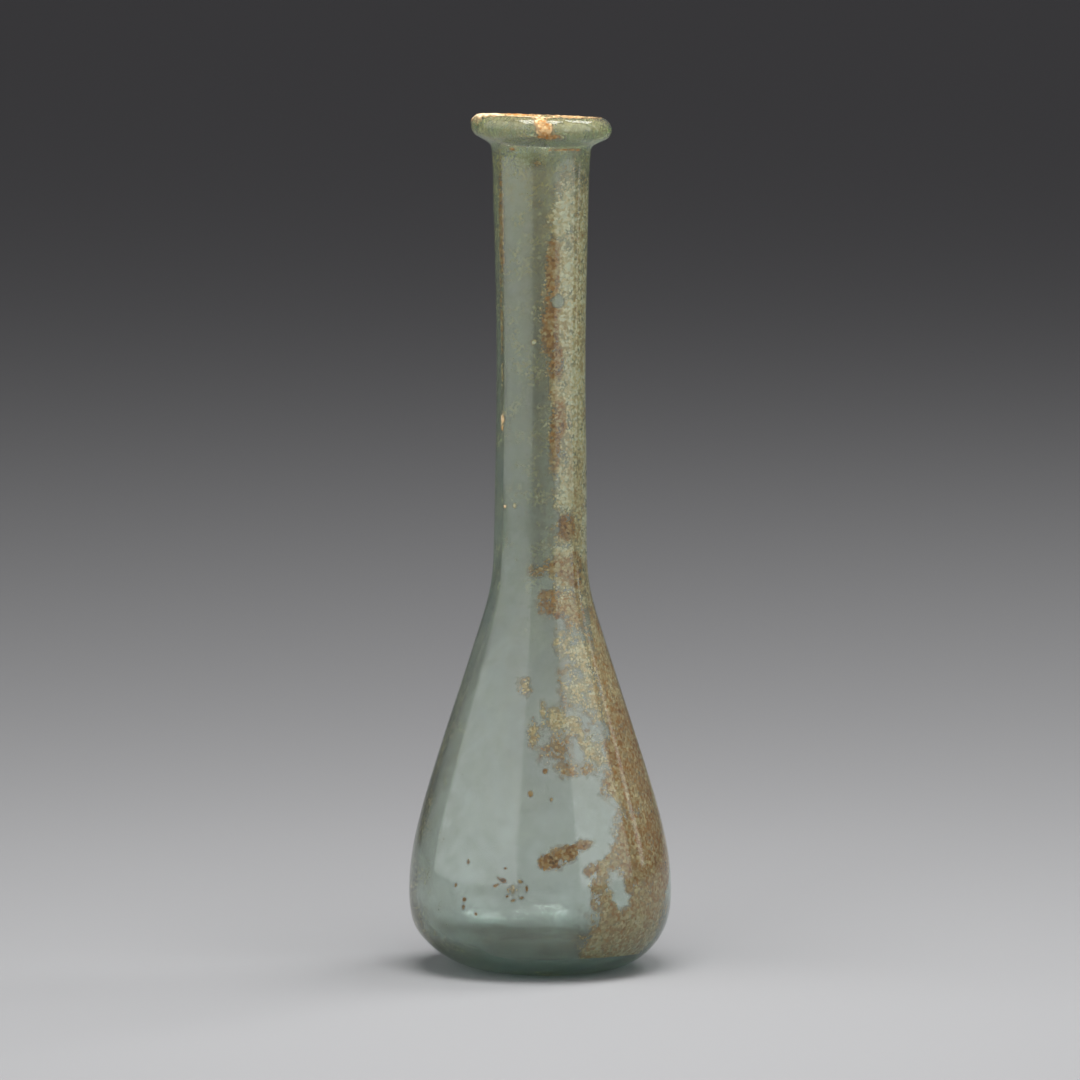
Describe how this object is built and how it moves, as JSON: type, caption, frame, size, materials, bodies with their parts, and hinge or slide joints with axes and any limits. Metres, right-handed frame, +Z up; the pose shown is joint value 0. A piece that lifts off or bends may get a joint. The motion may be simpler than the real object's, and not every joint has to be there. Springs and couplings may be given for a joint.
{
  "type": "glass perfume flask",
  "caption": "Free-blown glass flask with a long cylindrical neck, a rolled rim and a pear-shaped body on a small flattened foot.",
  "frame": {"origin": "on the body's axis, in the plane that the foot stands on", "axes": "+Z up the neck, through the mouth; -Y is the front; the rim dips towards +X"},
  "size_m": [0.048, 0.048, 0.1555],
  "materials": {
    "glass": "pale blue-green blown glass, hazed, with cream, ochre and tan burial deposits inside"
  },
  "bodies": {
    "root": {"flask": "glass"}
  },
  "joints": []
}
